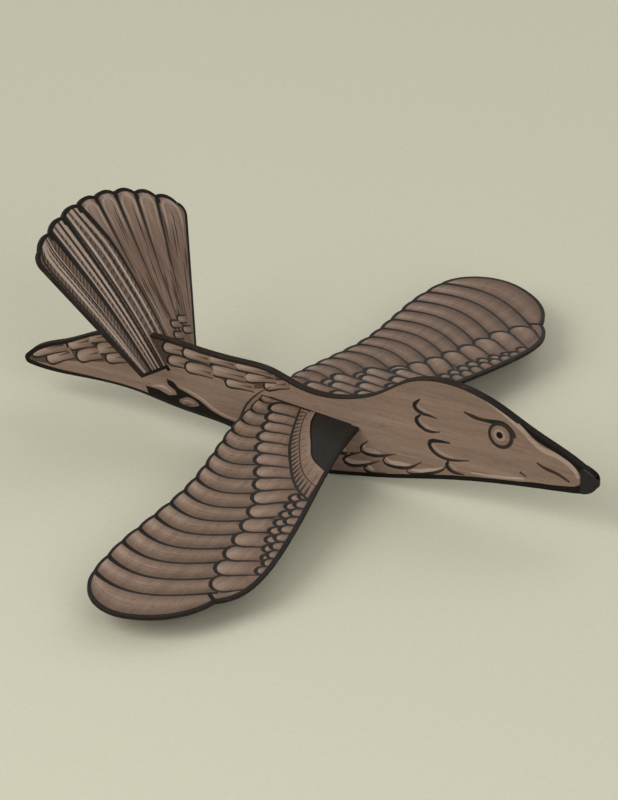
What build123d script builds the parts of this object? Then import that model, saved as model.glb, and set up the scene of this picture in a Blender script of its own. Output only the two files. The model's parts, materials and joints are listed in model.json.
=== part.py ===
from build123d import *
import os
from math import cos, radians, sin, sqrt

# Bird-shaped balsa hand glider: a flat profile body, two drooping wing halves that
# plug through it, a fan tail that stands in an inclined slot, and a folded nose clip.
# Millimetres. +X is towards the beak, +Y to the bird's left, +Z up.
# The origin is under the middle of the glider, at the height of the flat of the belly.

# ---- driving dimensions ----
LENGTH = 279.4             # beak to tail tip, eleven inches
HALF_LENGTH = LENGTH / 2
BODY_SHEET = 3.2           # balsa thickness of the body
BELLY_FLAT = (-14.0, 8.0)  # the belly is flat between these
THIN_SHEET = 1.6           # balsa thickness of the wings and the tail
FIT = 0.05                 # clearance on each side of a sheet in its slot

# Wings: (u, v) coordinates, u forward along the chord and v outward along the span
WING_ROOT = (-22.35, 0, 29.5)   # where the trailing edge would meet the middle of the body
INCIDENCE = 4.6                 # nose-down slope of the chord, degrees
DROOP = 5.1                     # each wing slopes down by this much, degrees
ROOT_CHORD = 47.5
HALF_SPAN = 174.4
ROOT_V = 1.75                   # the root edge stands just clear of the body's face
FEATHERS = 14                   # long feathers along the trailing edge
SCALLOP = 0.7                   # how far each feather's rounded end stands out
TONGUE_SHORT = 0.1              # a tongue ends this far inside the far face of the body
TONGUE_CHORD = 19.0
REAR_TONGUE_U = 4.0             # the right wing's tongue starts here
FRONT_TONGUE_U = 24.5           # the left wing's tongue starts here
SLOT_HEIGHT = 2.0               # room for a sheet that slopes through the body

# Tail fan: (y, s) coordinates, s up along the leaning centre line
FAN_BASE = (-69.4, 0, 32.1)
FAN_LEAN = 54.0                 # backward lean of the centre line above the level, degrees
FAN_CANT = -11.6                # turn of the fan in its own plane, right side up, degrees
FAN_BOTTOM = -1.5
FAN_BASE_HALF = 19.3
FAN_ARC_RADIUS = 94.2           # the gaps between the feather ends lie on this circle
FAN_ARC_CENTRE = -15.6
FAN_CORNER_ANGLE = 31.9
FAN_FEATHERS = 8
FAN_SCALLOP = 1.6
FAN_SLOT_SPARE = 1.0            # free depth under the fan, so that it can be tilted
FAN_SLOT_REACH = 30.0           # the slot runs out through the top edge of the body

# Nose clip: a strip of sheet steel folded round the blunt front of the beak
CLIP_SHEET = 0.5
CLIP_LENGTH = 8.2
CLIP_INNER = BODY_SHEET / 2 + FIT
CLIP_OUTER = CLIP_INNER + CLIP_SHEET
CLIP_FOLD_X = HALF_LENGTH - CLIP_OUTER
BEAK_FRONT_X = CLIP_FOLD_X + sqrt(CLIP_INNER**2 - (BODY_SHEET / 2) ** 2) - 0.1


def wing_plane(side):
    """Middle plane of a wing half. side is 1 for the left wing and -1 for the right."""
    i = radians(INCIDENCE)
    d = radians(DROOP)
    return Plane(
        origin=WING_ROOT,
        x_dir=(cos(i), 0, -sin(i)),
        z_dir=(sin(i) * cos(d), side * sin(d), cos(i) * cos(d)),
    )


def feather_v(index):
    """Spanwise place of a gap between two trailing feathers. They widen towards the tip."""
    return 5.0 + 8.2 * index + 0.165 * index**2


TRAILING_U = [0.6, 0.8, 1.0, 1.4, 2.8, 4.2, 5.6, 6.8, 7.2, 6.8, 5.8, 4.8, 3.8, 4.0, 4.8]


def wing_outline(side):
    """Closed outline of a wing half, with its notched leading edge and feathered back."""
    with BuildLine() as outline:
        Spline(
            (ROOT_CHORD, side * ROOT_V),
            (52.4, side * 38),
            (59.2, side * 68),
            (65.4, side * 100),
            (67.4, side * 122),
            (65.2, side * 136),
            (59, side * 145),
        )
        Spline(
            (59, side * 145),
            (54, side * 157),
            (45, side * 167),
            (36, side * 172.2),
            (27, side * HALF_SPAN),
            (17, side * 172.0),
            (9.6, side * 165.5),
            (TRAILING_U[-1], side * feather_v(FEATHERS)),
        )
        for k in range(FEATHERS, 0, -1):
            outer = (TRAILING_U[k], feather_v(k))
            inner = (TRAILING_U[k - 1], feather_v(k - 1))
            middle = ((outer[0] + inner[0]) / 2 - SCALLOP, (outer[1] + inner[1]) / 2)
            ThreePointArc(
                (outer[0], side * outer[1]),
                (middle[0], side * middle[1]),
                (inner[0], side * inner[1]),
            )
        Polyline(
            (TRAILING_U[0], side * feather_v(0)),
            (0, side * ROOT_V),
            (ROOT_CHORD, side * ROOT_V),
        )
    return outline.line


def wing(side, tongue_u):
    """A wing half with the tongue that fills its share of the slot in the body."""
    tongue_tip = -(BODY_SHEET / 2 - TONGUE_SHORT)
    overlap = ROOT_V + 1
    outline = wing_outline(side)
    with BuildPart() as half:
        with BuildSketch(wing_plane(side)):
            add(outline)
            make_face()
            with Locations((tongue_u + TONGUE_CHORD / 2, side * (tongue_tip + overlap) / 2)):
                Rectangle(TONGUE_CHORD, overlap - tongue_tip)
        extrude(amount=THIN_SHEET / 2, both=True)
    return half.part


def fan_plane():
    """Middle plane of the tail fan, turned to the cant at which it is set."""
    lean = radians(FAN_LEAN)
    cant = radians(FAN_CANT)
    across = (-sin(cant) * cos(lean), cos(cant), sin(cant) * sin(lean))
    return Plane(origin=FAN_BASE, x_dir=across, z_dir=(sin(lean), 0, cos(lean)))


def fan_point(angle, radius):
    """Point (y, s) on a circle about the centre of the feather ends."""
    a = radians(angle)
    return radius * sin(a), FAN_ARC_CENTRE + radius * cos(a)


# ---- body ----
with BuildPart() as fuselage:
    with BuildSketch(Plane.XZ):
        with BuildLine():
            Spline(
                (-138.4, 21.2),
                (-133, 25.8),
                (-120.5, 31.2),
                (-105.3, 38.7),
                (-90, 43.4),
                (-73, 44.8),
                (-55, 43.6),
                (-36, 43.1),
                (-18, 42.4),
                (-7, 39.0),
                (6, 37.2),
                (18, 38.8),
                (34, 45.0),
                (46.7, 53.6),
                (57, 57.4),
                (73.8, 58.0),
                (90, 53.8),
                (107.8, 45.4),
                (133, 34.0),
                (BEAK_FRONT_X, 30.6),
            )
            Line((BEAK_FRONT_X, 30.6), (BEAK_FRONT_X, 25.4))
            Spline(
                (BEAK_FRONT_X, 25.4),
                (134.2, 22.7),
                (127, 21.0),
                (108.9, 18.8),
                (87.3, 15.8),
                (65.7, 11.8),
                (40, 5.9),
                (24, 2.8),
                (BELLY_FLAT[1], 0),
            )
            Line((BELLY_FLAT[1], 0), (BELLY_FLAT[0], 0))
            Spline(
                (BELLY_FLAT[0], 0),
                (-24, 5.4),
                (-35, 9.9),
                (-51.5, 12.2),
                (-66, 13.6),
                (-83.5, 16.2),
                (-110, 16.2),
                (-126, 15.4),
                (-137.2, 16.2),
            )
            ThreePointArc((-137.2, 16.2), (-139.7, 18.6), (-138.4, 21.2))
        make_face()
    extrude(amount=BODY_SHEET / 2, both=True)

    # slot through which both wing tongues pass
    slot_length = FRONT_TONGUE_U + TONGUE_CHORD - REAR_TONGUE_U + 6 * FIT
    slot_u = (FRONT_TONGUE_U + TONGUE_CHORD + REAR_TONGUE_U) / 2
    slot_x = WING_ROOT[0] + slot_u * cos(radians(INCIDENCE))
    slot_z = WING_ROOT[2] - slot_u * sin(radians(INCIDENCE))
    with BuildSketch(Plane.XZ):
        with Locations((slot_x, slot_z)):
            Rectangle(slot_length, SLOT_HEIGHT, rotation=-INCIDENCE)
    extrude(amount=BODY_SHEET, both=True, mode=Mode.SUBTRACT)

    # inclined slot for the tail fan, open at the top edge
    slot_bottom = FAN_BOTTOM - FAN_SLOT_SPARE
    slot_middle = (slot_bottom + FAN_SLOT_REACH) / 2
    fan_slot_x = FAN_BASE[0] - slot_middle * cos(radians(FAN_LEAN))
    fan_slot_z = FAN_BASE[2] + slot_middle * sin(radians(FAN_LEAN))
    with BuildSketch(Plane.XZ):
        with Locations((fan_slot_x, fan_slot_z)):
            Rectangle(
                FAN_SLOT_REACH - slot_bottom,
                THIN_SHEET + 2 * FIT,
                rotation=180 - FAN_LEAN,
            )
    extrude(amount=BODY_SHEET, both=True, mode=Mode.SUBTRACT)

# ---- wing halves ----
wing_left = wing(1, FRONT_TONGUE_U)
wing_right = wing(-1, REAR_TONGUE_U)

# ---- tail fan ----
with BuildPart() as tail_fan:
    with BuildSketch(fan_plane()):
        with BuildLine():
            step = 2 * FAN_CORNER_ANGLE / FAN_FEATHERS
            for k in range(FAN_FEATHERS):
                start = -FAN_CORNER_ANGLE + k * step
                ThreePointArc(
                    fan_point(start, FAN_ARC_RADIUS),
                    fan_point(start + step / 2, FAN_ARC_RADIUS + FAN_SCALLOP),
                    fan_point(start + step, FAN_ARC_RADIUS),
                )
            corner = fan_point(FAN_CORNER_ANGLE, FAN_ARC_RADIUS)
            for side in (-1, 1):
                ThreePointArc((side * corner[0], corner[1]), (side * 52.6, 61.5), (side * 52.3, 57))
                Line((side * 52.3, 57), (side * FAN_BASE_HALF, FAN_BOTTOM))
            Line((-FAN_BASE_HALF, FAN_BOTTOM), (FAN_BASE_HALF, FAN_BOTTOM))
        make_face()
    extrude(amount=THIN_SHEET / 2, both=True)

# ---- nose clip ----
with BuildPart() as nose_weight:
    clip_rear = HALF_LENGTH - CLIP_LENGTH
    leg = CLIP_FOLD_X - clip_rear
    with BuildSketch(Plane.XY.offset(15)):
        with Locations((clip_rear + leg / 2, 0)):
            Rectangle(leg, 2 * CLIP_OUTER)
        with Locations((CLIP_FOLD_X, 0)):
            Circle(CLIP_OUTER)
        with Locations((clip_rear + leg / 2, 0)):
            Rectangle(leg, 2 * CLIP_INNER, mode=Mode.SUBTRACT)
        with Locations((CLIP_FOLD_X, 0)):
            Circle(CLIP_INNER, mode=Mode.SUBTRACT)
    extrude(amount=25)
    with BuildSketch(Plane.XZ) as clip_side:
        with BuildLine():
            Spline(
                (clip_rear, 34.5),
                (135.2, 33.0),
                (138.2, 31.0),
                (HALF_LENGTH, 28.3),
                (138.6, 25.4),
                (135.8, 23.1),
                (clip_rear, 21.9),
            )
            Line((clip_rear, 21.9), (clip_rear, 34.5))
        make_face()
        fillet(clip_side.vertices().group_by(Axis.X)[0], 1.2)
    extrude(amount=2 * CLIP_OUTER, both=True, mode=Mode.INTERSECT)

# ---- labels and files ----
os.makedirs("parts", exist_ok=True)
pieces = {
    "fuselage": fuselage.part,
    "wing_left": wing_left,
    "wing_right": wing_right,
    "tail_fan": tail_fan.part,
    "nose_weight": nose_weight.part,
}
for name, piece in pieces.items():
    piece.label = name
    export_step(piece, f"parts/{name}.step")
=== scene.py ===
import json
import math
import random

import bmesh
import bpy
import numpy as np
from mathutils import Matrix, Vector
from mathutils.geometry import delaunay_2d_cdt


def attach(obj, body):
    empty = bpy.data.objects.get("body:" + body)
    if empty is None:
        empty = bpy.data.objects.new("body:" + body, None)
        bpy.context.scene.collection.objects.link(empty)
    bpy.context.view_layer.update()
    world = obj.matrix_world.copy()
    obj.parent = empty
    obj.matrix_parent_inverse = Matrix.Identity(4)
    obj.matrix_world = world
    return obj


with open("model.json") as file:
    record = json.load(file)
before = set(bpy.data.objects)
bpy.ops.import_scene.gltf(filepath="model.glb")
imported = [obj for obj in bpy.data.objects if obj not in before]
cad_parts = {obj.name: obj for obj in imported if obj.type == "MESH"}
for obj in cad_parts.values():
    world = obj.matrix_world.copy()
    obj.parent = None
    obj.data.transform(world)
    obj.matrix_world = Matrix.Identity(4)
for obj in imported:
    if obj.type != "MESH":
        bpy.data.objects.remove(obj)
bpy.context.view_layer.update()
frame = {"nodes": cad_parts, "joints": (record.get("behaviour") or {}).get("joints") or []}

# Looks of the bird-shaped balsa glider. Each CAD sheet keeps its place and gets a cut-balsa
# material. Its two faces carry a printed layer, a closed film a few hundredths of a millimetre
# thick, whose triangles follow the feathers and lines. A tone from 0, black ink, to 1, the
# lightest stain, is stored at each corner and the shader turns it into colour.
# Artwork is drawn in millimetres on each sheet's own plane.

MM = 0.001
FILM = 0.03             # height of the printed layer above the wood
EMBED = 0.012           # how far the layer's underside is sunk into the wood
DECIMALS = 4            # to which the artwork's points are rounded
WELD = 1e-5             # points nearer than this are joined
SMALL_PATCH = 1e-3      # patches under this area, in square millimetres, are left out
SMALL_TRIANGLE = 2e-6   # twice the area under which a triangle is left out

# tones
INK = 0.04
LINE = 0.12
PLAIN = 0.62

# feathers along each wing's trailing edge, spaced as the scallops of the sheet
FEATHERS = 14
FIRST_GAP = 5.0
GAP_STEP = 8.2
GAP_GROWTH = 0.165


# ---------------------------------------------------------------- curves in the plane
def smooth(points, count):
    """Points evenly spaced along a Catmull-Rom curve through the given points."""
    p = np.array(points, float)
    if len(p) == 2:
        dense = p
    else:
        ends = np.vstack([2 * p[0] - p[1], p, 2 * p[-1] - p[-2]])
        t = np.linspace(0, 1, 12, endpoint=False)[:, None]
        spans = []
        for a, b, c, d in zip(ends, ends[1:], ends[2:], ends[3:]):
            bend = 2 * b + (c - a) * t + (2 * a - 5 * b + 4 * c - d) * t**2
            spans.append(0.5 * (bend + (3 * b - a - 3 * c + d) * t**3))
        dense = np.vstack(spans + [p[-1:]])
    return even(dense, count)


def even(points, count):
    """The same path with count points at equal distances."""
    p = np.array(points, float)
    run = np.r_[0, np.cumsum(np.linalg.norm(np.diff(p, axis=0), axis=1))]
    at = np.linspace(0, run[-1], count)
    return np.c_[np.interp(at, run, p[:, 0]), np.interp(at, run, p[:, 1])]


def spread(values, count):
    """A short list of values stretched over count places."""
    values = np.atleast_1d(np.array(values, float))
    return np.interp(np.linspace(0, 1, count), np.linspace(0, 1, len(values)), values)


def table(points, x):
    """Value at x on a line through (x, value) points."""
    xs, ys = zip(*points)
    return float(np.interp(x, xs, ys))


# ---------------------------------------------------------------- the sheets of the frame
class Sheet:
    """A flat sheet of the frame: its plane, its thickness and its outline in millimetres."""

    def __init__(self, node, origin, x_axis, y_axis):
        self.node = node
        self.origin = Vector(origin)
        self.x_axis = Vector(x_axis).normalized()
        self.y_axis = Vector(y_axis).normalized()
        self.normal = self.x_axis.cross(self.y_axis).normalized()
        heights = [(v.co - self.origin).dot(self.normal) for v in frame["nodes"][node].data.vertices]
        self.middle = (max(heights) + min(heights)) / 2 / MM
        self.half = (max(heights) - min(heights)) / 2 / MM
        self.loops = self._outlines()
        self.outer = self.loops[0]

    def flat(self, point):
        """Place of a row-frame point on the sheet, in millimetres."""
        away = point - self.origin
        return away.dot(self.x_axis) / MM, away.dot(self.y_axis) / MM

    def lifted(self, x, y, height):
        """Row-frame point above (x, y) on the sheet, in metres."""
        up = (self.middle + height) * MM
        return self.origin + self.x_axis * (x * MM) + self.y_axis * (y * MM) + self.normal * up

    def _outlines(self):
        """Rings of points round one broad face, the largest first."""
        mesh = bmesh.new()
        mesh.from_mesh(frame["nodes"][self.node].data)
        bmesh.ops.remove_doubles(mesh, verts=mesh.verts, dist=1e-7)
        facing = [f for f in mesh.faces if f.normal.dot(self.normal) > 0.99]
        top = set(facing)  # only asked what it holds, because its order changes from run to run
        nexts = {}
        for f in facing:
            for loop in f.loops:
                if sum(g in top for g in loop.edge.link_faces) == 1:
                    nexts[loop.vert] = loop.link_loop_next.vert
        loops = []
        while nexts:
            start, vert = next(iter(nexts.items()))
            del nexts[start]
            ring = [self.flat(start.co)]
            while vert is not start:
                ring.append(self.flat(vert.co))
                vert = nexts.pop(vert)
            loops.append(np.array(ring))
        mesh.free()
        return sorted(loops, key=lambda ring: -abs(area(ring)))

    def stretch(self, start, end, via, spacing=1.6):
        """Part of the outline from the corner near start to the corner near end, past via."""
        ring = self.outer
        near = [int(np.argmin(np.linalg.norm(ring - np.array(p), axis=1))) for p in (start, end, via)]
        first, last, passed = near
        count = len(ring)
        forward = [(first + k) % count for k in range((last - first) % count + 1)]
        if passed not in forward:
            forward = [(first - k) % count for k in range((first - last) % count + 1)]
        path = ring[forward]
        length = np.linalg.norm(np.diff(path, axis=0), axis=1).sum()
        return even(path, max(3, int(length / spacing)))

    def ends(self, y):
        """Lowest and highest x of the outline at y."""
        return self._span(1, y)

    def rims(self, x):
        """Lowest and highest y of the outline at x."""
        return self._span(0, x)

    def _span(self, axis, at):
        """How far the outline reaches along the other axis where this one is at a value."""
        a = self.outer
        b = np.roll(a, -1, axis=0)
        other = 1 - axis
        cross = (a[:, axis] - at) * (b[:, axis] - at) <= 0
        cross &= np.abs(a[:, axis] - b[:, axis]) > 1e-9
        share = (at - a[cross, axis]) / (b[cross, axis] - a[cross, axis])
        places = a[cross, other] + share * (b[cross, other] - a[cross, other])
        return places.min(), places.max()


def area(ring):
    """Signed area of a ring of points, positive when it runs anticlockwise."""
    x, y = ring[:, 0], ring[:, 1]
    return 0.5 * float(np.dot(x, np.roll(y, -1)) - np.dot(y, np.roll(x, -1)))


# ---------------------------------------------------------------- artwork
class Artwork:
    """Patches of tone painted on a sheet one over the other. The last one painted shows."""

    def __init__(self, sheet, tone):
        self.sheet = sheet
        self.patches = [(sheet.outer, np.full(len(sheet.outer), tone))]

    def patch(self, corners, tones):
        """A polygon with a tone at each corner."""
        corners = np.array(corners, float)
        tones = np.broadcast_to(np.array(tones, float), len(corners)).copy()
        size = area(corners)
        if abs(size) < SMALL_PATCH:
            return
        if size < 0:
            corners = corners[::-1]
            tones = tones[::-1]
        self.patches.append((corners, tones))

    def grid(self, rows, tones):
        """Quads between rows of points, with a tone at each point."""
        for r in range(len(rows) - 1):
            for c in range(len(rows[0]) - 1):
                corners = [rows[r][c], rows[r][c + 1], rows[r + 1][c + 1], rows[r + 1][c]]
                shades = [tones[r][c], tones[r][c + 1], tones[r + 1][c + 1], tones[r + 1][c]]
                self.patch(corners, shades)

    def band(self, first, last, tone, across=6):
        """Fill between two paths of equal length. tone(s, t): s along them, t from first to last."""
        shares = np.linspace(0, 1, across + 1)
        rows = [first * (1 - t) + last * t for t in shares]
        along = np.linspace(0, 1, len(first))
        self.grid(rows, [[tone(s, t) for s in along] for t in shares])

    def stroke(self, points, widths, tones, count=None):
        """A line of varying width and tone along a smooth path."""
        path = smooth(points, count or max(4, 3 * len(points)))
        self.ribbon(path, widths, tones)

    def ribbon(self, path, widths, tones):
        """A line along a path as it is."""
        step = np.gradient(path, axis=0)
        step /= np.linalg.norm(step, axis=1)[:, None] + 1e-12
        side = np.c_[-step[:, 1], step[:, 0]] * spread(widths, len(path))[:, None] / 2
        shades = spread(tones, len(path))
        self.grid([path - side, path + side], [shades, shades])

    def feather(self, root, tip, width, bend=0.0, tones=(0.42, 0.82), edge=1.2, blunt=0.45):
        """A short feather lying from root to tip: a light vane with a dark line round its end."""
        root = np.array(root, float)
        tip = np.array(tip, float)
        axis = tip - root
        length = np.linalg.norm(axis)
        side = np.array([-axis[1], axis[0]]) / length
        shoulder = 1 - min(0.8, blunt * width / length)
        turn = np.radians([0, 25, 45, 62, 76, 88])
        stations = np.r_[0, shoulder / 2, shoulder + (1 - shoulder) * np.sin(turn)]
        swell = np.r_[0.92, 0.98, np.cos(turn)]
        centre = root + stations[:, None] * axis + side * (bend * np.sin(math.pi * stations))[:, None]
        spans = swell * width / 2
        offsets = np.array([-1, -0.55, 0, 0.55, 1])
        rows = [centre + side * (spans * o)[:, None] for o in offsets]
        low, high = tones
        glow = [0.15, 0.8, 1.0, 0.7, 0.1]
        shades = [[low + (high - low) * g * (0.3 + 0.7 * s) for s in stations] for g in glow]
        self.grid(rows, shades)
        rim = np.vstack([rows[0], rows[-1][::-1]])
        widths = [edge * share for share in (0.5, 0.9, 1.35, 0.9, 0.5)]
        self.ribbon(even(rim, 17), widths, [LINE, INK, LINE])


# ---------------------------------------------------------------- printed layer as a mesh
class Points:
    """Points of the artwork, each kept once."""

    def __init__(self):
        self.places = {}
        self.found = []

    def index(self, p):
        """Number of a point, the same for points that round to the same place."""
        key = (round(float(p[0]), DECIMALS), round(float(p[1]), DECIMALS))
        if key not in self.places:
            self.places[key] = len(self.found)
            self.found.append(Vector(key))
        return self.places[key]


def tone_plane(corners, tones):
    """Centre, slope and range of the tones over a patch."""
    centre = corners.mean(0)
    if len(set(tones)) > 1:
        matrix = np.c_[corners - centre, np.ones(len(corners))]
        plane = np.linalg.lstsq(matrix, tones, rcond=None)[0]
    else:
        plane = (0, 0, tones[0])
    return centre, plane, tones.min(), tones.max()


def partition(sheet, art, clear):
    """Triangles that follow every patch, as points, corners and the tone of the top patch."""
    points = Points()
    faces = []
    planes = []
    for corners, tones in art.patches:
        ring = list(dict.fromkeys(points.index(p) for p in corners))
        if len(ring) > 2:
            faces.append(ring)
            planes.append(tone_plane(corners, tones))
    first_hole = len(faces)
    for ring in sheet.loops[1:] + ([] if clear is None else [clear]):
        ring = ring if area(ring) > 0 else ring[::-1]
        faces.append([points.index(p) for p in ring])
    coords, _, triangles, _, _, owners = delaunay_2d_cdt(points.found, [], faces, 0, WELD)
    kept = []
    shades = []
    for triangle, owner in zip(triangles, owners):
        if 0 not in owner or max(owner) >= first_hole:
            continue
        a, b, c = (coords[k] for k in triangle)
        if abs((b - a).cross(c - a)) < SMALL_TRIANGLE:
            continue
        centre, plane, low, high = planes[max(owner)]
        kept.append(triangle)
        for x, y in (a, b, c):
            tone = plane[0] * (x - centre[0]) + plane[1] * (y - centre[1]) + plane[2]
            shades.append(min(high, max(low, tone)))
    return coords, kept, shades


def film(sheet, coords, kept, shades):
    """Closed film on both faces of a sheet: vertices, faces and a tone for each face corner."""
    edges = {(triangle[k], triangle[(k + 1) % 3]): True for triangle in kept for k in range(3)}
    rim = [edge for edge in edges if (edge[1], edge[0]) not in edges]
    used = sorted({k for triangle in kept for k in triangle})
    order = {k: n for n, k in enumerate(used)}
    vertices = []
    polygons = []
    tones = []
    for side in (1, -1):
        top = len(vertices)
        bottom = top + len(used)
        for height in (sheet.half + FILM, sheet.half - EMBED):
            vertices += [sheet.lifted(*coords[k], side * height) for k in used]
        for n, triangle in enumerate(kept):
            upper = [top + order[k] for k in triangle]
            lower = [bottom + order[k] for k in reversed(triangle)]
            corner = shades[3 * n:3 * n + 3]
            polygons += [upper[::side], lower[::side]]
            tones += corner[::side] + [LINE] * 3
        for a, b in rim:
            wall = [top + order[b], top + order[a], bottom + order[a], bottom + order[b]]
            polygons.append(wall[::side])
            tones += [LINE] * 4
    return vertices, polygons, tones


def printed_layer(name, sheet, art, material, body, clear=None):
    """The printed film of one sheet as a piece. Inside the ring called clear there is no film."""
    vertices, polygons, tones = film(sheet, *partition(sheet, art, clear))
    mesh = bpy.data.meshes.new(name)
    mesh.from_pydata(vertices, [], polygons)
    mesh.attributes.new("tone", "FLOAT", "CORNER").data.foreach_set("value", np.array(tones, np.float32))
    mesh.materials.append(material)
    mesh.update()
    piece = bpy.data.objects.new(name, mesh)
    bpy.context.scene.collection.objects.link(piece)
    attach(piece, body)


# ---------------------------------------------------------------- wings
def feather_gap(index):
    """Spanwise place of a gap between two long feathers."""
    return FIRST_GAP + GAP_STEP * index + GAP_GROWTH * index**2


# distance along the span, then along the chord
COVERT_LINE = [(5, 8), (20, 13.1), (30, 15.6), (42, 21), (54, 27.8), (66, 34), (77, 39.3), (88, 41.9),
               (104, 45.2), (126, 49.2), (134, 53), (145, 57)]
SECOND_LINE = [(3, 19), (19.5, 24.8), (30, 29.7), (42, 36.6), (52, 43.7), (60, 49), (71, 51.6), (90, 54.4),
               (100, 58), (109, 62), (122, 62.5), (135, 61)]

# distance along the chord, then along the span
BARB_EDGE = [(19.0, 1.9), (24.4, 18), (29.8, 30.4), (36.8, 42), (43.8, 51.6), (50.4, 57.6), (58.4, 61.5)]
PATCH_EDGE = [(26.2, 0), (28.0, 8), (31.4, 15), (35.8, 22.2), (42.3, 32.3), (52.6, 38.4)]


def feather_path(sheet, index, count=15):
    """Line between two long feathers, from its gap in the trailing edge to the coverts."""
    v = feather_gap(index)
    u = sheet.ends(v + 0.01)[0]
    reach = table(COVERT_LINE, v) - u
    t = np.linspace(0, 1, count)
    bulge = 0.2 * reach * np.sin(math.pi * t**0.9)
    return np.c_[u + reach * t, v + bulge - 0.0048 * reach**2 * t]


def long_feathers(art, lines, edge):
    """The long feathers along the trailing edge, each lighter on its inner side and at its end."""
    sheet = art.sheet

    def vane(s, t):
        glow = math.exp(-(((t - 0.4) / 0.3) ** 2))
        return 0.38 + 0.3 * glow * (0.62 + 0.5 * math.exp(-3 * s)) + 0.05 * (1 - s)

    root_line = np.c_[np.linspace(sheet.ends(2.2)[0], 8, len(lines[0])), np.full(len(lines[0]), 2.0)]
    for inner, outer in zip([root_line] + lines, lines + [edge]):
        art.band(inner, outer, vane, 7)
    for k, (inner, outer) in enumerate(zip(lines[2:], lines[3:] + [edge])):
        for share, start, stop in ((0.5, 2, 11), (0.3, 4, 8), (0.72, 5, 12)):
            streak = inner * (1 - share) + outer * share
            art.ribbon(streak[start + k % 2:stop], [0.2, 0.5, 0.2], [0.56, 0.44, 0.5])
    for k, line in enumerate(lines):
        wide = 1.0 + 0.03 * k
        art.ribbon(line, [1.7 * wide, 1.15 * wide, 0.9 * wide, 1.05 * wide], [0.0, INK, 0.1, INK])


def coverts(art):
    """Rows of short feathers over the roots of the long ones, largest first."""
    sheet = art.sheet
    slants = [(0, 1), (20, 4), (45, 6), (66, 12), (76, 14), (90, 9), (104, 8), (120, 11), (143, 12)]
    v = 8.0
    middles = []
    while v < 141:
        middles.append(v)
        v += 6.6 + 0.042 * v
    for v in reversed(middles):
        tip_u = table(COVERT_LINE, v) - 1.8
        root_v = max(1.9, v - table(slants, v))
        root_u = min(table(SECOND_LINE, root_v) + 2.0, sheet.ends(root_v)[1] - 1.0)
        width = 8.0 + 0.03 * v
        art.feather((root_u, root_v), (tip_u, v), width, 0.9, (0.34, 0.78), 1.4)

    # two rows of small coverts beside the leading edge
    for row in (1, 0):
        for k in range(10):
            v = 60 + 6.4 * k + 3.0 * row
            if v > 121 - 8 * row:
                continue
            rim = sheet.ends(v)[1]
            line = table(SECOND_LINE, v)
            room = rim - line
            tip_u = line - 1.6 + 0.42 * room * (1 - row)
            base = min(tip_u + 0.75 * room + 2.5, rim)
            art.feather((base, v - 3.6), (tip_u, v), 6.2, 0.3, (0.3, 0.76), 1.4, 0.55)


def black_corner(art):
    """Black front corner of the wing's root, with a plain strip and a row of barbs behind it."""
    sheet = art.sheet
    patch = smooth(PATCH_EDGE, 24)
    inner = smooth(BARB_EDGE, 24)
    art.band(inner, patch, lambda s, t: 0.52 + 0.14 * t, 4)
    middle = inner * 0.55 + patch * 0.45
    for k in range(23):
        start = inner[k] * 0.95 + middle[k] * 0.05
        barb = np.array([start, (start + middle[k]) / 2, middle[k]])
        art.ribbon(barb, [1.0, 0.9, 0.4], [0.1, 0.16, 0.36])
        if k % 2:
            fine = np.array([middle[k] * 0.9 + patch[k] * 0.1, middle[k] * 0.4 + patch[k] * 0.6])
            art.ribbon(fine, 0.35, 0.4)
    art.ribbon(inner, [0.9, 1.3, 1.3, 1.5], [LINE, INK, LINE])
    art.ribbon(middle[1:], [0.5, 0.7, 0.6], 0.24)
    corner = (sheet.ends(2.2)[1] + 1, 0)
    rim = sheet.stretch((48, 1.8), (53, 40), (50, 20))
    rim = rim[rim[:, 1] < 38.4][::-1] + (0.6, 0)
    art.patch(np.vstack([patch, rim, [corner]]), 0.07)
    art.ribbon(patch, [0.9, 0.8, 0.9], 0.0)


def saddle_feathers(art):
    """Rows of short feathers over the root of the left wing, where the back runs on to it."""
    for k in range(7, -1, -1):
        v = 5.2 + 7.6 * k
        columns = 4 if v < 30 else 2
        for column in range(columns):
            tip_u = table(COVERT_LINE, v) - 4.0 + 12.6 * column + 6.3 * (k % 2)
            if tip_u + 9 < art.sheet.ends(v)[1]:
                art.feather((tip_u + 15.5, v + 0.6), (tip_u, v), 9.2, 0.5, (0.3, 0.86), 1.6, 0.42)


def wing_art(sheet, saddled):
    """Artwork of a wing half. A saddled wing has back feathers on its root, not a black corner."""
    art = Artwork(sheet, 0.5)
    lines = [feather_path(sheet, k) for k in range(FEATHERS + 1)]
    notch = (59, 145)
    tip = sheet.stretch(lines[-1][0], notch, (27, 174))
    long_feathers(art, lines, even(tip, len(lines[0])))
    coverts(art)
    if saddled:
        saddle_feathers(art)
    else:
        black_corner(art)

    # outlines
    back = sheet.stretch((0, 1.8), lines[-1][0], (7, 80))
    art.ribbon(back, [1.4, 2.6, 3.2, 3.0, 3.0], [LINE, INK, INK])
    for line in lines[3:]:
        art.patch(disc(line[0] + (0.6, 0), 1.3, 8), 0.0)
    art.ribbon(tip, [3.2, 3.6, 3.8, 3.2], INK)
    front = sheet.stretch(notch, (48, 1.8), (66, 120))
    art.ribbon(front, [3.4, 3.4, 3.6, 3.0, 2.2], INK)
    art.stroke([(59.6, 145.6), (56.5, 143.4), (53.6, 141)], [1.8, 2.2, 1.8], 0.0)
    art.ribbon(np.array([(sheet.ends(2.2)[0], 1.8), (24, 1.8)]), 1.2, LINE)
    return art


def disc(centre, radius, count, squeeze=1.0):
    """Points round a circle, or an ellipse when squeezed along y."""
    turn = np.linspace(0, 2 * math.pi, count, endpoint=False)
    return np.array(centre) + np.c_[radius * np.cos(turn), radius * squeeze * np.sin(turn)]


# ---------------------------------------------------------------- tail fan
NEAR_FEATHERS = 3
FAN_FEATHERS = 8
FAN_ARC = (94.2, -15.6, 31.9)


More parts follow.
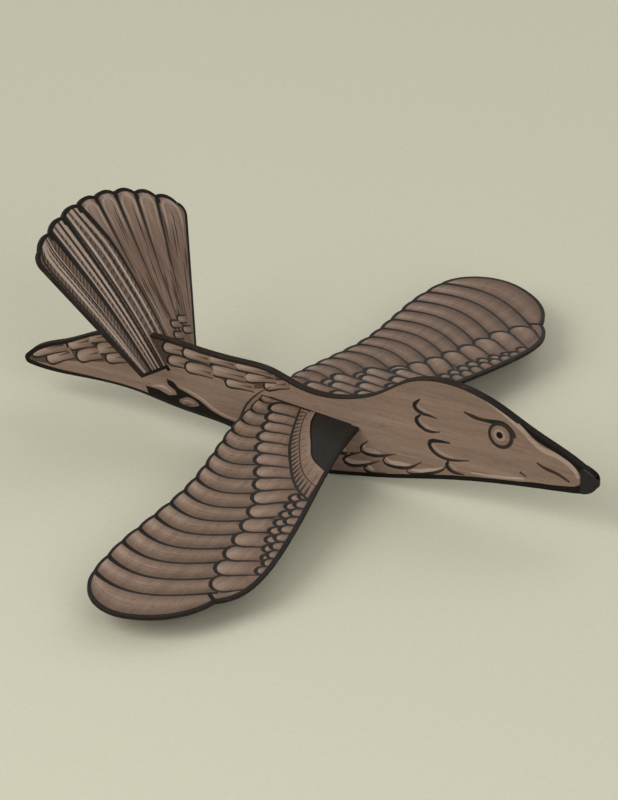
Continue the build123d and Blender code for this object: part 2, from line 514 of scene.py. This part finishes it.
def fan_lines():
    """Lines between the tail feathers, from their feet at the body to the gaps in the edge."""
    radius, centre, corner = FAN_ARC
    angles = np.radians(np.linspace(-corner, corner, FAN_FEATHERS + 1))
    tips = np.c_[radius * np.sin(angles), centre + radius * np.cos(angles)]
    feet = np.c_[[-19.3, -13.6, -6.0, 4.0, 8.0, 11.2, 14.2, 16.8, 19.3], np.full(FAN_FEATHERS + 1, -1.5)]
    lines = [even([foot, tip], 13) for foot, tip in zip(feet, tips)]
    lines[0] = even([feet[0], (-52.3, 57), tips[0]], 13)
    lines[-1] = even([feet[-1], (52.3, 57), tips[-1]], 13)
    for k in range(1, NEAR_FEATHERS + 1):
        bow = 2.2 * np.sin(math.pi * np.linspace(0, 1, 13))
        lines[k] = lines[k] + np.c_[bow, np.zeros(13)]
    return lines


def along(path, s):
    """Point a share s of the way along a path."""
    at = s * (len(path) - 1)
    low = min(int(at), len(path) - 2)
    return path[low] * (1 - at + low) + path[low + 1] * (at - low)


def near_half(art, lines):
    """Boldly striped feathers: two or three pale shafts in each, with slanting barbs between."""
    shafts = [(0.36, 0.5, 0.66), (0.2, 0.5, 0.8), (0.22, 0.52, 0.8)]
    for k in range(NEAR_FEATHERS):
        left, right = lines[k], lines[k + 1]
        art.band(left, right, lambda s, t: 0.38 + 0.06 * math.sin(math.pi * s), 3)
        barbs = 26 - 3 * k
        for n in range(barbs):
            s = 0.1 + 0.84 * n / barbs
            a, b = along(left, s), along(right, s)
            gap = np.linalg.norm(b - a)
            if gap < 3.5 or (k and 3 * k <= n % (7 + k) < 3 * k + 1):
                continue
            lean = (0, 1.5 + 0.2 * gap)
            for start, stop in ((0.08, 0.3), (0.4, 0.6), (0.7, 0.9)):
                barb = np.array([a + (b - a) * start, a + (b - a) * stop + lean])
                art.ribbon(barb, [0.7, 0.5], [0.5, 0.62])
                art.ribbon(barb - (0, 0.9), 0.55, 0.1)
        for share in shafts[k]:
            shaft = left * (1 - share) + right * share
            wide = 0.55 if share == 0.5 and k == 0 else 1.0
            art.ribbon(shaft, [wide * w for w in (0.9, 1.2, 1.5, 2.3)], [0.8, 0.9, 0.94, 0.86])
        art.ribbon(left * 0.87 + right * 0.13, [0.8, 1.1, 1.3], [0.06, INK, 0.1])
        art.ribbon(left * 0.35 + right * 0.65, [0.6, 1.0, 1.1], [INK, INK, 0.14])
    for k in range(1, NEAR_FEATHERS):
        art.ribbon(lines[k], [1.0, 1.5, 2.4], [INK, INK, 0.0])


def far_half(art, lines):
    """Plainer feathers: round pale ends, dark gaps and long fine streaks."""
    chance = random.Random(7)
    for k in range(NEAR_FEATHERS, FAN_FEATHERS):
        left, right = lines[k], lines[k + 1]

        def shade(s, t):
            glow = math.exp(-(((t - 0.5) / 0.34) ** 2))
            return 0.44 + 0.13 * glow + 0.2 * glow * max(0, s - 0.7) / 0.3

        art.band(left, right, shade, 6)
        for n in range(15):
            share = (n + 0.5 + chance.uniform(-0.3, 0.3)) / 15
            low = chance.uniform(0.1, 0.72)
            high = min(0.93, low + chance.uniform(0.1, 0.34))
            path = left * (1 - share) + right * share
            tone = 0.2 if n % 2 else 0.62
            ends = [along(path, low), along(path, (low + high) / 2), along(path, high)]
            art.ribbon(np.array(ends), [0.25, 0.85, 0.25], tone)
        arch = [along(left * 0.8 + right * 0.2, s) for s in (0.7, 0.86, 0.95)]
        arch += [along(left * 0.5 + right * 0.5, 0.985)]
        arch += [along(left * 0.2 + right * 0.8, s) for s in (0.95, 0.86, 0.7)]
        art.stroke(arch, [0.4, 1.5, 1.7, 1.5, 0.4], [0.56, 0.78, 0.82, 0.78, 0.56], 22)
        art.ribbon(left[3:], [0.4, 0.9, 2.2], [0.3, 0.16, 0.0])


def fan_art(sheet):
    """Artwork of the tail fan."""
    art = Artwork(sheet, 0.36)
    lines = fan_lines()
    far_half(art, lines)

    # the near half laps over the far one along a dark fold
    fold = [(4.6, -1.5), (5.2, 10), (3.8, 26), (1.2, 41), (-2.0, 55.9), (-5.8, 64.5)]
    fold = smooth(fold + [lines[NEAR_FEATHERS][-1]], 13)
    lines[NEAR_FEATHERS] = fold
    near_half(art, lines)
    art.ribbon(fold, [1.2, 1.4, 1.7, 2.4, 3.0], [LINE, INK, 0.0])
    light = smooth([(8.2, 2), (7.6, 16), (6.4, 26), (4.8, 36), (1.8, 48)], 10)
    art.ribbon(light, [0.4, 1.1, 0.9, 0.4], [0.5, 0.74, 0.7, 0.5])

    # small feathers where the tail meets the body's back
    for y, s in ((20.5, 16.5), (15.0, 15.5), (21.0, 11.5), (14.0, 10.5)):
        art.feather((y + 2.6, s - 1), (y - 3.2, s + 0.4), 3.6, 0.2, (0.4, 0.8), 1.0)

    # outlines
    top = sheet.stretch(lines[0][-1], lines[-1][-1], (0, 79), 1.3)
    art.ribbon(top, 3.4, 0.0)
    for line in lines[1:-1]:
        art.patch(disc(line[-1] - (0, 1.9), 1.5, 10, 1.5), 0.0)
    left = sheet.stretch(lines[0][0], lines[0][-1], (-44, 40))
    art.ribbon(left, [1.8, 2.2, 3.2], [INK, INK, 0.0])
    right = sheet.stretch(lines[-1][0], lines[-1][-1], (44, 40))
    art.ribbon(right, [2.6, 2.8, 3.2], [INK, INK, 0.0])
    art.ribbon(np.array([lines[0][0], lines[-1][0]]), 2.8, INK)
    return art


# ---------------------------------------------------------------- body
# back feathers: tip x, tip z, root x, root z, width
BACK_FEATHERS = [
    (-99.4, 28.0, -90.5, 31.0, 4.6),
    (-90.0, 31.2, -81.5, 33.0, 4.6),
    (-94.4, 34.6, -86.0, 37.0, 4.6),
    (-85.0, 37.4, -76.8, 39.0, 4.6),
    (-99.0, 39.0, -90.6, 41.0, 4.2),
    (-89.4, 41.6, -81.0, 42.6, 4.2),
    (-104.2, 31.0, -95.0, 34.8, 4.6),
    (-108.6, 35.2, -99.6, 38.6, 4.2),
    (-113.8, 24.9, -103.4, 29.8, 5.0),
    (-118.4, 29.6, -108.0, 34.4, 4.8),
    (-128.8, 19.9, -117.4, 26.6, 4.8),
    (-137.0, 21.4, -120.4, 29.4, 4.8),
    (-68.8, 35.1, -59.6, 35.2, 4.4),
    (-71.2, 40.6, -61.4, 41.2, 4.6),
    (-40.4, 31.5, -27.4, 32.2, 4.0),
    (-21.4, 34.0, -10.6, 38.0, 3.8),
    (-31.0, 35.8, -17.0, 39.2, 4.0),
    (-48.2, 35.6, -31.4, 36.2, 4.8),
    (-60.2, 34.0, -47.4, 34.0, 4.6),
    (-36.0, 40.6, -17.4, 41.0, 3.6),
    (-50.0, 41.0, -36.2, 40.8, 4.2),
    (-61.4, 40.7, -49.0, 40.4, 4.8),
]

BREAST_SCALLOPS = [
    [(12.6, 16.4), (13.8, 13.0), (17.4, 11.8), (22.6, 13.6)],
    [(29.3, 20.9), (25.9, 17.4), (26.9, 14.8), (33.9, 14.8), (42.9, 18.0)],
    [(26.3, 14.8), (19.1, 11.1), (17.4, 8.3), (21.5, 7.1), (28.9, 9.4), (35.3, 13.0)],
    [(38.6, 16.3), (36.5, 13.5), (39.5, 11.7), (48.6, 12.8), (55.4, 17.4)],
    [(29.5, 9.3), (27.3, 7.3), (31.1, 5.8), (38.3, 7.5)],
    [(48.6, 12.5), (48.8, 10.5), (56.4, 11.9), (64.5, 15.5), (67.7, 19.3)],
]

NECK_MARKS = [
    [(54.3, 47.2), (51.8, 44.3), (52.3, 42.1), (55.5, 40.7), (58.8, 40.5), (62.6, 40.0)],
    [(54.8, 39.9), (52.7, 37.7), (53.5, 35.2), (56.9, 33.3), (60.5, 33.1), (64.2, 34.0)],
    [(69.0, 29.9), (63.5, 29.5), (59.5, 28.5), (59.3, 25.7), (62.9, 22.8), (69.0, 21.9), (78.2, 23.8)],
    [(68.3, 21.5), (67.5, 18.7), (70.5, 16.5), (76.0, 16.5)],
]


def back_art(art):
    """Dark-edged feathers over the back and the tail end."""
    zone = [(-141, 17.6), (-128, 18.4), (-118, 22.4), (-111, 23.8), (-99, 26.6), (-89, 29.2), (-77, 32.4),
            (-66, 33.4), (-57, 32.6), (-47, 34.0), (-40, 31.4), (-27, 31.6), (-20, 33.6), (-9, 37.8),
            (-9, 46), (-60, 48), (-141, 44)]
    art.patch(zone, 0.3)
    for tip_x, tip_z, root_x, root_z, width in BACK_FEATHERS:
        root = (root_x + 1.2, root_z + 0.2)
        art.feather(root, (tip_x, tip_z), 1.24 * width, -0.5, (0.42, 0.84), 0.85, 0.5)
        shaft = np.array([(root_x, root_z), ((root_x + tip_x) / 2, (root_z + tip_z) / 2)])
        art.ribbon(shaft, [0.9, 0.3], [0.24, 0.5])


def belly_art(art):
    """Black band under the belly behind the wings, with a tucked foot."""
    band = [(-79.6, 20.0), (-76, 11), (-34, 6), (-20, 1), (-20, 8.0), (-33.3, 13.2), (-41.0, 14.2),
            (-46.9, 16.0), (-52.9, 19.4), (-59.7, 21.8), (-63.1, 22.7), (-66.0, 25.2), (-69.4, 25.9),
            (-68.6, 23.2), (-65.0, 21.2), (-64.2, 19.4), (-68.2, 18.2), (-73.3, 19.8)]
    art.patch(band, 0.0)
    light = [(-61.0, 23.6), (-52.4, 20.8), (-46.2, 17.3), (-40.4, 15.4), (-33, 14.6)]
    art.stroke(light, [0.4, 1.0, 1.0, 0.4], 0.76)
    foot = [(-63.1, 17.4), (-58.8, 19.6), (-54.8, 18.6), (-53.2, 16.8), (-58.0, 15.3), (-62.2, 15.8)]
    art.patch(smooth(foot + foot[:1], 19)[:-1], 0.46)
    art.stroke([(-61.4, 17.0), (-58.6, 18.0), (-55.6, 17.4)], [0.4, 1.0, 0.4], 0.66)
    art.stroke([(-60.0, 15.6), (-57.0, 16.2)], [0.7, 0.3], 0.1, 3)
    art.stroke([(-76.4, 20.9), (-71.0, 21.6), (-66.6, 19.9)], [0.5, 1.5, 0.6], 0.78)


def face_lights(art):
    """Soft light strips below the forehead's edge, along the beak and along the throat."""
    forehead_light = [(86, 54.2), (93.5, 51.3), (98.6, 48.3), (103.4, 45.0), (107.6, 41.2)]
    beak_light = [(107.6, 41.2), (113, 38.0), (120.6, 36.6), (127.2, 33.4), (130.4, 28.9)]
    throat_light = [(79, 18.4), (93.5, 19.9), (104.5, 22.1)]
    art.stroke(forehead_light, [0.6, 2.2, 2.6, 2.4, 1.8], 0.78)
    art.stroke(beak_light, [1.8, 2.4, 2.2, 2.5, 1.3], 0.8)
    art.stroke(throat_light, [0.5, 1.5, 0.7], 0.78)


def eye_art(art):
    """The brow, and a ringed eye with a pale iris and a black pupil."""
    brow = [(75.4, 46.5), (81.2, 45.1), (86.4, 45.0), (90.9, 45.4), (94.2, 45.4), (97.2, 44.2),
            (99.3, 42.0), (99.8, 40.0)]
    art.stroke(brow, [0.7, 1.9, 1.6, 2.0, 2.5, 2.0, 1.6], [0.14, LINE, INK, INK, LINE])
    eye = np.array([93.1, 39.7])
    pupil = eye - (0.5, 0)
    ring = disc(eye, 5.35, 25, 1.02)
    art.patch(ring, 0.57)
    art.patch(disc(pupil, 2.9, 18), 0.72)
    art.ribbon(np.vstack([ring, ring[:1]]), [1.9, 1.9, 1.4, 1.5, 1.7, 1.9], LINE)
    art.patch(disc(pupil, 1.6, 14), 0.0)


def beak_art(art):
    """The mouth line, a nick under it and the black cap round the beak's edge."""
    mouth = [(110.4, 31.2), (114.2, 29.6), (120.6, 28.3), (126.2, 25.9)]
    art.stroke(mouth, [0.7, 1.7, 1.5, 1.1], [0.14, 0.17, 0.2])
    art.stroke([(102.4, 24.7), (105.6, 23.0)], [1.2, 0.7], 0.26, 4)
    inner = [(82, 59.2), (92, 54.4), (103, 46.8), (110.5, 41.3), (120, 38.0), (127.6, 34.4), (131.6, 29.6),
             (130.2, 25.2), (120.6, 22.9), (107.7, 21.2), (94, 18.2)]
    beyond = [(98, 10), (142, 15), (142, 34), (108, 54), (84, 64)]
    art.patch(np.vstack([smooth(inner, 44), beyond]), 0.0)


def body_art(sheet):
    """Artwork of the body's profile."""
    art = Artwork(sheet, PLAIN)
    stations = np.linspace(-136, 131, 60)
    low_rim = np.array([(x, sheet.rims(x)[0]) for x in stations])
    top_rim = np.array([(x, sheet.rims(x)[1]) for x in stations])

    def relief(s, t):
        """A little darker towards both edges, with a slow waver along the body."""
        return PLAIN - 0.08 * (1 - t) ** 3 - 0.03 * t**4 + 0.025 * math.sin(9 * s + 4 * t)

    art.band(low_rim, top_rim, relief, 8)
    back_art(art)
    belly_art(art)
    shoulder = [(-33.3, 15.2), (-29.9, 23.4), (-23.9, 30.4), (-18.0, 34.8)]
    art.stroke(shoulder, [1.2, 1.0, 0.8, 0.4], [0.12, 0.16, 0.3])
    for points in BREAST_SCALLOPS:
        glow = [(x + 1.3, z + 1.8) for x, z in points[1:-1]]
        art.stroke(glow, [0.6, 2.4, 0.8], 0.8)
        art.stroke(points, [0.5, 1.2, 1.6, 1.3, 0.5], [0.2, INK, INK, LINE, 0.3])
    for points in NECK_MARKS:
        light = [(x + 1.6, z + 1.5) for x, z in points[1:-1]]
        art.stroke(light, [0.4, 1.6, 0.4], 0.7)
        art.stroke(points, [0.7, 2.0, 1.7, 1.3, 0.5], [INK, INK, LINE, 0.2])
    face_lights(art)
    eye_art(art)
    beak_art(art)

    # outlines along the top and bottom edges
    slot_front = (-76.4, 45)
    slot_back = (-80.4, 44.8)
    tail = (-139.6, 18.6)
    art.ribbon(sheet.stretch(tail, slot_back, (-110, 37)), [4.4, 2.2, 2.4], [0.0, INK])
    back = sheet.stretch(slot_front, (100, 49), (40, 49))
    art.ribbon(back, [2.2, 2.6, 2.0, 1.4, 1.8, 2.4], [INK, INK, LINE, INK])
    bottom = sheet.stretch(tail, (110, 18.9), (-50, 12))
    art.ribbon(bottom, [4.4, 2.4, 2.8, 3.6, 3.6, 4.2, 4.2], [0.0, INK, 0.0, 0.0])
    return art


# ---------------------------------------------------------------- materials
def srgb(r, g, b):
    """Linear colour of an sRGB colour given in 0 to 255."""
    linear = [(c / 255 / 12.92) if c <= 10 else ((c / 255 + 0.055) / 1.055) ** 2.4 for c in (r, g, b)]
    return (*linear, 1.0)


class Nodes:
    """A material's node tree, with short calls to add and join nodes."""

    def __init__(self, name):
        self.material = bpy.data.materials.new(name)
        self.material.use_nodes = True
        self.tree = self.material.node_tree
        self.shader = self.tree.nodes["Principled BSDF"]

    def add(self, kind, **settings):
        node = self.tree.nodes.new(kind)
        for key, value in settings.items():
            setattr(node, key, value)
        return node

    def join(self, source, target):
        self.tree.links.new(source, target)

    def ramp(self, source, stops):
        node = self.add("ShaderNodeValToRGB")
        elements = node.color_ramp.elements
        while len(elements) < len(stops):
            elements.new(0.5)
        for element, (place, colour) in zip(elements, stops):
            element.position = place
            element.color = colour if len(colour) == 4 else (*colour, 1)
        self.join(source, node.inputs["Fac"])
        return node.outputs["Color"]

    def math(self, operation, a, b):
        node = self.add("ShaderNodeMath", operation=operation)
        for socket, value in zip(node.inputs, (a, b)):
            if isinstance(value, (int, float)):
                socket.default_value = value
            else:
                self.join(value, socket)
        return node.outputs[0]

    def mix(self, blend, share, a, b):
        node = self.add("ShaderNodeMix", data_type="RGBA", blend_type=blend)
        for key, value in (("Factor", share), ("A", a), ("B", b)):
            socket = node.inputs[key]
            if isinstance(value, (int, float, tuple)):
                socket.default_value = value
            else:
                self.join(value, socket)
        return node.outputs["Result"]

    def grain(self, turn):
        """Coordinates turned so that X runs along the wood's grain."""
        place = self.add("ShaderNodeTexCoord")
        rotate = self.add("ShaderNodeMapping", vector_type="POINT")
        rotate.inputs["Rotation"].default_value = turn
        self.join(place.outputs["Object"], rotate.inputs["Vector"])
        return rotate.outputs["Vector"]

    def streaks(self, vector, along, across, detail=3.0, roughness=0.6):
        """Noise drawn out along the grain. along and across are features per metre."""
        scale = self.add("ShaderNodeMapping", vector_type="POINT")
        scale.inputs["Scale"].default_value = (along, across, across)
        self.join(vector, scale.inputs["Vector"])
        noise = self.add("ShaderNodeTexNoise")
        noise.inputs["Scale"].default_value = 1.0
        noise.inputs["Detail"].default_value = detail
        noise.inputs["Roughness"].default_value = roughness
        self.join(scale.outputs["Vector"], noise.inputs["Vector"])
        return noise.outputs["Fac"]

    def bump(self, height, strength, distance):
        node = self.add("ShaderNodeBump")
        node.inputs["Strength"].default_value = strength
        node.inputs["Distance"].default_value = distance
        self.join(height, node.inputs["Height"])
        self.join(node.outputs["Normal"], self.shader.inputs["Normal"])


INK_RAMP = [
    (0.0, srgb(15, 11, 7)),
    (0.07, srgb(36, 34, 31)),
    (0.16, srgb(50, 37, 28)),
    (0.36, srgb(80, 64, 53)),
    (0.62, srgb(119, 99, 85)),
    (0.8, srgb(144, 126, 112)),
    (1.0, srgb(168, 154, 142)),
]


def printed_balsa(name, turn):
    """Brown-stained balsa with printed line work. The grain shows through the ink."""
    n = Nodes(name)
    vector = n.grain(turn)
    tone = n.add("ShaderNodeAttribute", attribute_name="tone").outputs["Fac"]
    bands = n.streaks(vector, 9, 260, 2.0, 0.5)
    fibres = n.streaks(vector, 70, 2300, 4.0, 0.7)
    flecks = n.streaks(vector, 150, 1900, 2.0, 0.5)
    mottle = n.streaks(vector, 900, 900, 3.0, 0.65)
    shifted = n.math("ADD", tone, n.math("MULTIPLY", n.math("SUBTRACT", mottle, 0.5), 0.1))
    streaky = n.math("MULTIPLY", n.math("SUBTRACT", bands, 0.5), 0.22)
    shifted = n.math("ADD", shifted, n.math("MULTIPLY", streaky, n.math("MULTIPLY", tone, 1.6)))
    ink = n.ramp(shifted, INK_RAMP)
    grain = n.ramp(fibres, [(0.3, (0.72, 0.71, 0.7)), (0.5, (1, 1, 1)), (0.7, (1.16, 1.15, 1.13))])
    colour = n.mix("MULTIPLY", 0.85, ink, grain)
    vessel = n.ramp(flecks, [(0.27, (1, 1, 1)), (0.33, (0, 0, 0))])
    dark_vessel = n.mix("MULTIPLY", 1.0, colour, (0.55, 0.5, 0.46, 1))
    colour = n.mix("MIX", vessel, colour, dark_vessel)
    n.join(colour, n.shader.inputs["Base Color"])
    rough = n.ramp(tone, [(0.05, (0.5,) * 3), (0.35, (0.62,) * 3), (0.9, (0.74,) * 3)])
    n.join(rough, n.shader.inputs["Roughness"])
    n.shader.inputs["Specular IOR Level"].default_value = 0.12
    relief = n.math("ADD", n.math("MULTIPLY", fibres, 0.6), n.math("MULTIPLY", vessel, -0.5))
    relief = n.math("ADD", relief, n.math("MULTIPLY", tone, -0.25))
    n.bump(relief, 0.35, 0.00012)
    return n.material


def cut_balsa(name, turn, inked_from=None):
    """Scorched edge of cut sheet, paler where the char is thin. Black past the x given, if any."""
    n = Nodes(name)
    vector = n.grain(turn)
    fibres = n.streaks(vector, 60, 1800, 4.0, 0.7)
    scorch = n.streaks(vector, 160, 160, 3.0, 0.6)
    wood = n.ramp(fibres, [(0.3, srgb(20, 14, 9)), (0.55, srgb(36, 26, 18)), (0.75, srgb(60, 45, 32))])
    thin = n.ramp(scorch, [(0.56, (0, 0, 0)), (0.74, (1, 1, 1))])
    pale = n.ramp(fibres, [(0.3, srgb(48, 35, 25)), (0.7, srgb(98, 78, 60))])
    colour = n.mix("MIX", n.math("MULTIPLY", thin, 0.5), wood, pale)
    if inked_from is not None:
        place = n.add("ShaderNodeSeparateXYZ")
        n.join(n.add("ShaderNodeTexCoord").outputs["Object"], place.inputs[0])
        ragged = n.math("ADD", place.outputs["X"], n.math("MULTIPLY", scorch, 0.01))
        past = n.math("GREATER_THAN", ragged, inked_from)
        black = n.ramp(fibres, [(0.3, srgb(13, 10, 8)), (0.7, srgb(26, 22, 18))])
        colour = n.mix("MIX", past, colour, black)
    n.join(colour, n.shader.inputs["Base Color"])
    n.shader.inputs["Roughness"].default_value = 0.78
    n.shader.inputs["Specular IOR Level"].default_value = 0.15
    n.bump(fibres, 0.5, 0.00018)
    return n.material


def black_enamel():
    """Satin black paint on folded steel, a little worn."""
    n = Nodes("black_enamel")
    place = n.add("ShaderNodeTexCoord").outputs["Object"]
    haze = n.streaks(place, 700, 700, 4.0, 0.65)
    peel = n.streaks(place, 2600, 2600, 2.0, 0.5)
    paint = n.ramp(haze, [(0.35, srgb(12, 11, 10)), (0.65, srgb(22, 20, 18))])
    n.join(paint, n.shader.inputs["Base Color"])
    n.join(n.ramp(haze, [(0.3, (0.34,) * 3), (0.7, (0.5,) * 3)]), n.shader.inputs["Roughness"])
    n.shader.inputs["Specular IOR Level"].default_value = 0.3
    n.bump(peel, 0.25, 0.00005)
    return n.material


def floor_paper():
    """Plain pale floor with the faintest tooth."""
    n = Nodes("floor_paper")
    place = n.add("ShaderNodeTexCoord").outputs["Object"]
    tooth = n.streaks(place, 400, 400, 3.0, 0.6)
    colour = n.ramp(tooth, [(0.3, srgb(184, 182, 161)), (0.7, srgb(188, 186, 166))])
    n.join(colour, n.shader.inputs["Base Color"])
    n.shader.inputs["Roughness"].default_value = 0.9
    return n.material


def wear(node, material):
    """Gives a CAD node one material."""
    for place in frame["nodes"][node].material_slots:
        place.material = material


# ---------------------------------------------------------------- putting it together
joints = {joint["name"]: joint for joint in frame["joints"]}


def wing_sheet(node, joint):
    """Plane of a wing: x forward along its chord, y outward along its span, from the root."""
    span = Vector(joints[joint]["axis"]).normalized()
    mesh = frame["nodes"][node].data
    broad = max(mesh.polygons, key=lambda f: f.area).normal
    chord = span.cross(broad).normalized()
    if chord.x < 0:
        chord = -chord
    normal = chord.cross(span)
    height = sum(v.co.dot(normal) for v in mesh.vertices) / len(mesh.vertices)
    middle = normal * height - span * (normal.y * height / span.y)
    roots = [v.co for v in mesh.vertices if 1 < (v.co - middle).dot(span) / MM < 2.5]
    origin = middle + chord * min(p.dot(chord) for p in roots)
    return Sheet(node, origin, chord, span)


def fan_sheet():
    """Plane of the tail fan: x to the left, y up along its own centre line, from the slot."""
    hinge = joints["tail_tilt"]
    normal = Vector(hinge["axis"]).normalized()
    origin = Vector(hinge["pos_m"])
    flat_side = [f for f in frame["nodes"]["tail_fan"].data.polygons if f.normal.dot(normal) > 0.99]
    weight = sum(f.area for f in flat_side)
    middle = sum((f.center * f.area for f in flat_side), Vector()) / weight
    up = middle - origin
    up = (up - normal * up.dot(normal)).normalized()
    return Sheet("tail_fan", origin, up.cross(normal), up)


BEAK_INK = 0.09          # x in metres from which the body's edge is inked black
ALONG_X = (0, 0, 0)
ALONG_Y = (0, 0, math.radians(-90))

body_print = printed_balsa("printed_body", ALONG_X)
wing_print = printed_balsa("printed_wing", ALONG_Y)
body_cut = cut_balsa("cut_body", ALONG_X, BEAK_INK)
wing_cut = cut_balsa("cut_wing", ALONG_Y)

tail = fan_sheet()
fan_turn = (0, math.atan2(tail.y_axis.z, tail.y_axis.x), 0)
fan_print = printed_balsa("printed_fan", fan_turn)
fan_cut = cut_balsa("cut_fan", fan_turn)

body = Sheet("fuselage", (0, 0, 0), (1, 0, 0), (0, 0, 1))
printed_layer("fuselage_print", body, body_art(body), body_print, "body")
tongue = np.array([(-5, -20), (60, -20), (60, 1.7), (-5, 1.7)])
for side in ("left", "right"):
    node = "wing_" + side
    wing = wing_sheet(node, side + "_wing_pull")
    art = wing_art(wing, side == "left")
    printed_layer(node + "_print", wing, art, wing_print, side + "_wing", tongue)
printed_layer("tail_fan_print", tail, fan_art(tail), fan_print, "tail")

wear("fuselage", body_cut)
wear("wing_left", wing_cut)
wear("wing_right", wing_cut)
wear("tail_fan", fan_cut)
wear("nose_weight", black_enamel())

# ---------------------------------------------------------------- stage
floor_mesh = bpy.data.meshes.new("floor")
FLOOR_REACH = 6.0
corners = [(x * FLOOR_REACH, y * FLOOR_REACH, 0) for x, y in ((-1, -1), (1, -1), (1, 1), (-1, 1))]
floor_mesh.from_pydata(corners, [], [(0, 1, 2, 3)])
floor_mesh.materials.append(floor_paper())
floor = bpy.data.objects.new("floor", floor_mesh)
bpy.context.scene.collection.objects.link(floor)


def area_light(name, place, aim, size, power):
    """A round soft light turned to face a point."""
    lamp = bpy.data.lights.new(name, "AREA")
    lamp.shape = "DISK"
    lamp.size = size
    lamp.energy = power
    holder = bpy.data.objects.new(name, lamp)
    holder.location = place
    holder.rotation_euler = (Vector(aim) - Vector(place)).to_track_quat("-Z", "Y").to_euler()
    bpy.context.scene.collection.objects.link(holder)


area_light("key", (-0.8, -1.5, 1.35), (0, 0, 0.04), 1.6, 30)
area_light("fill", (1.5, -1.3, 0.9), (0, 0, 0.04), 1.6, 20)
area_light("rim", (0.2, 1.6, 1.3), (0, 0, 0.05), 1.4, 7)

world = bpy.data.worlds.new("studio")
world.use_nodes = True
world.node_tree.nodes["Background"].inputs["Color"].default_value = (1.0, 0.99, 0.97, 1)
world.node_tree.nodes["Background"].inputs["Strength"].default_value = 0.56
bpy.context.scene.world = world
bpy.context.scene.view_settings.view_transform = "Standard"

# ---------------------------------------------------------------- camera
AZIMUTH = math.radians(29.1)
ELEVATION = math.radians(27.45)
LENS = 500.0
SENSOR = 36.0
PICTURE = (618, 800)
FILL = 0.93              # share of the picture's width that the glider takes

level = math.cos(ELEVATION)
back = Vector((math.sin(AZIMUTH) * level, -math.cos(AZIMUTH) * level, math.sin(ELEVATION)))
right = Vector((math.cos(AZIMUTH), math.sin(AZIMUTH), 0))
up = back.cross(right)
seen = [v.co for node in frame["nodes"].values() for v in node.data.vertices]
across = [p.dot(right) for p in seen]
upward = [p.dot(up) for p in seen]
depth = [p.dot(back) for p in seen]
aim = right * (max(across) + min(across)) / 2 + up * (max(upward) + min(upward)) / 2
aim += back * (max(depth) + min(depth)) / 2
view_width = (max(across) - min(across)) / FILL
view_height = view_width * PICTURE[1] / PICTURE[0]
lens = bpy.data.cameras.new("camera")
lens.lens = LENS
lens.sensor_width = SENSOR
camera = bpy.data.objects.new("camera", lens)
distance = view_height * LENS / SENSOR
camera.location = aim + back * distance
camera.rotation_mode = "QUATERNION"
camera.rotation_quaternion = back.to_track_quat("Z", "Y")
lens.clip_start = distance / 100
lens.clip_end = distance * 10
bpy.context.scene.collection.objects.link(camera)
bpy.context.scene.camera = camera
